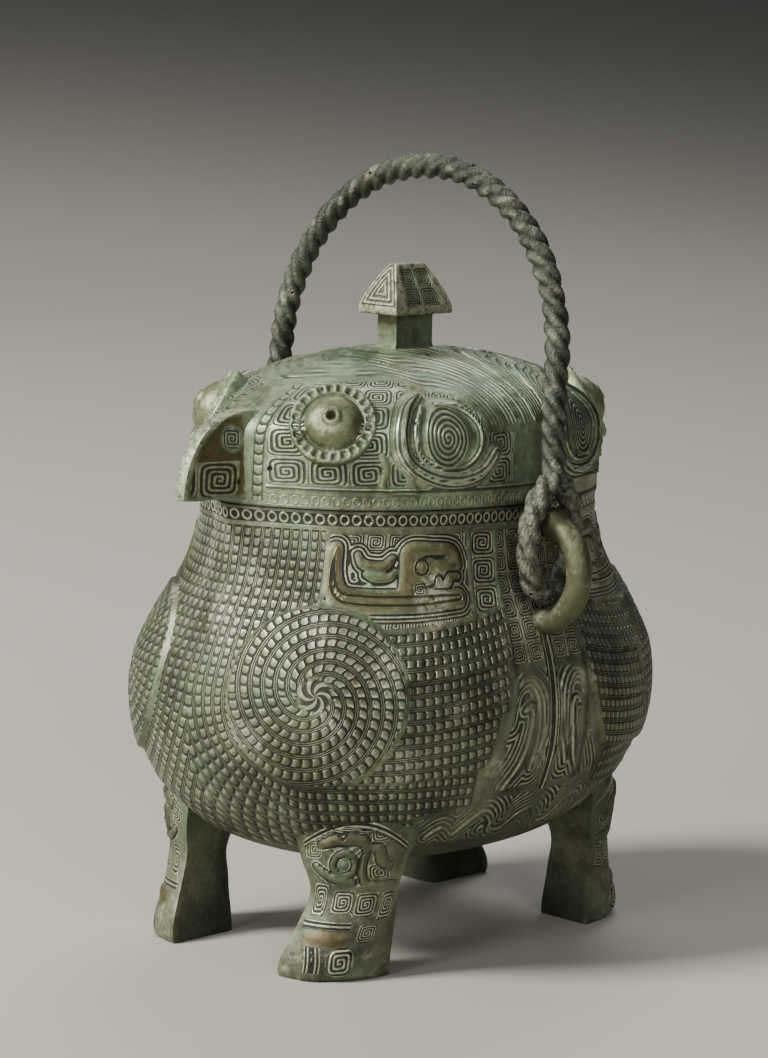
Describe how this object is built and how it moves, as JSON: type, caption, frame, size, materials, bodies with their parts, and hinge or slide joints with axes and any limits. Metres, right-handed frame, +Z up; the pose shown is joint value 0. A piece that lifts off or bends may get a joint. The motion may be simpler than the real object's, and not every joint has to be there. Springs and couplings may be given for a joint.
{
  "type": "owl-shaped wine vessel",
  "caption": "Cast bronze lidded wine vessel shaped as addorsed owls, on four legs, with a roof-shaped lid knob and a swinging twisted-rope bail on side rings.",
  "frame": {"origin": "on the ground, in the middle of the four feet", "axes": "+Z up, the beaks point along -X and +X, the handle's rings stand out along -Y and +Y"},
  "size_m": [0.2076, 0.1756, 0.2706],
  "materials": {
    "bronze_body": "green-grey patinated cast bronze",
    "bronze_lid": "pale green patinated cast bronze",
    "bronze_handle": "grey-green patinated cast bronze"
  },
  "bodies": {
    "vessel": {"vessel": "bronze_body", "lid": "bronze_lid"},
    "handle": {"handle": "bronze_handle"}
  },
  "joints": [
    {"name": "handle_swing", "type": "hinge", "parent": "vessel", "child": "handle", "pos_m": [0, 0, 0.15197], "axis": [0, 1, 0], "range_deg": [-118.7, 107.3]}
  ]
}
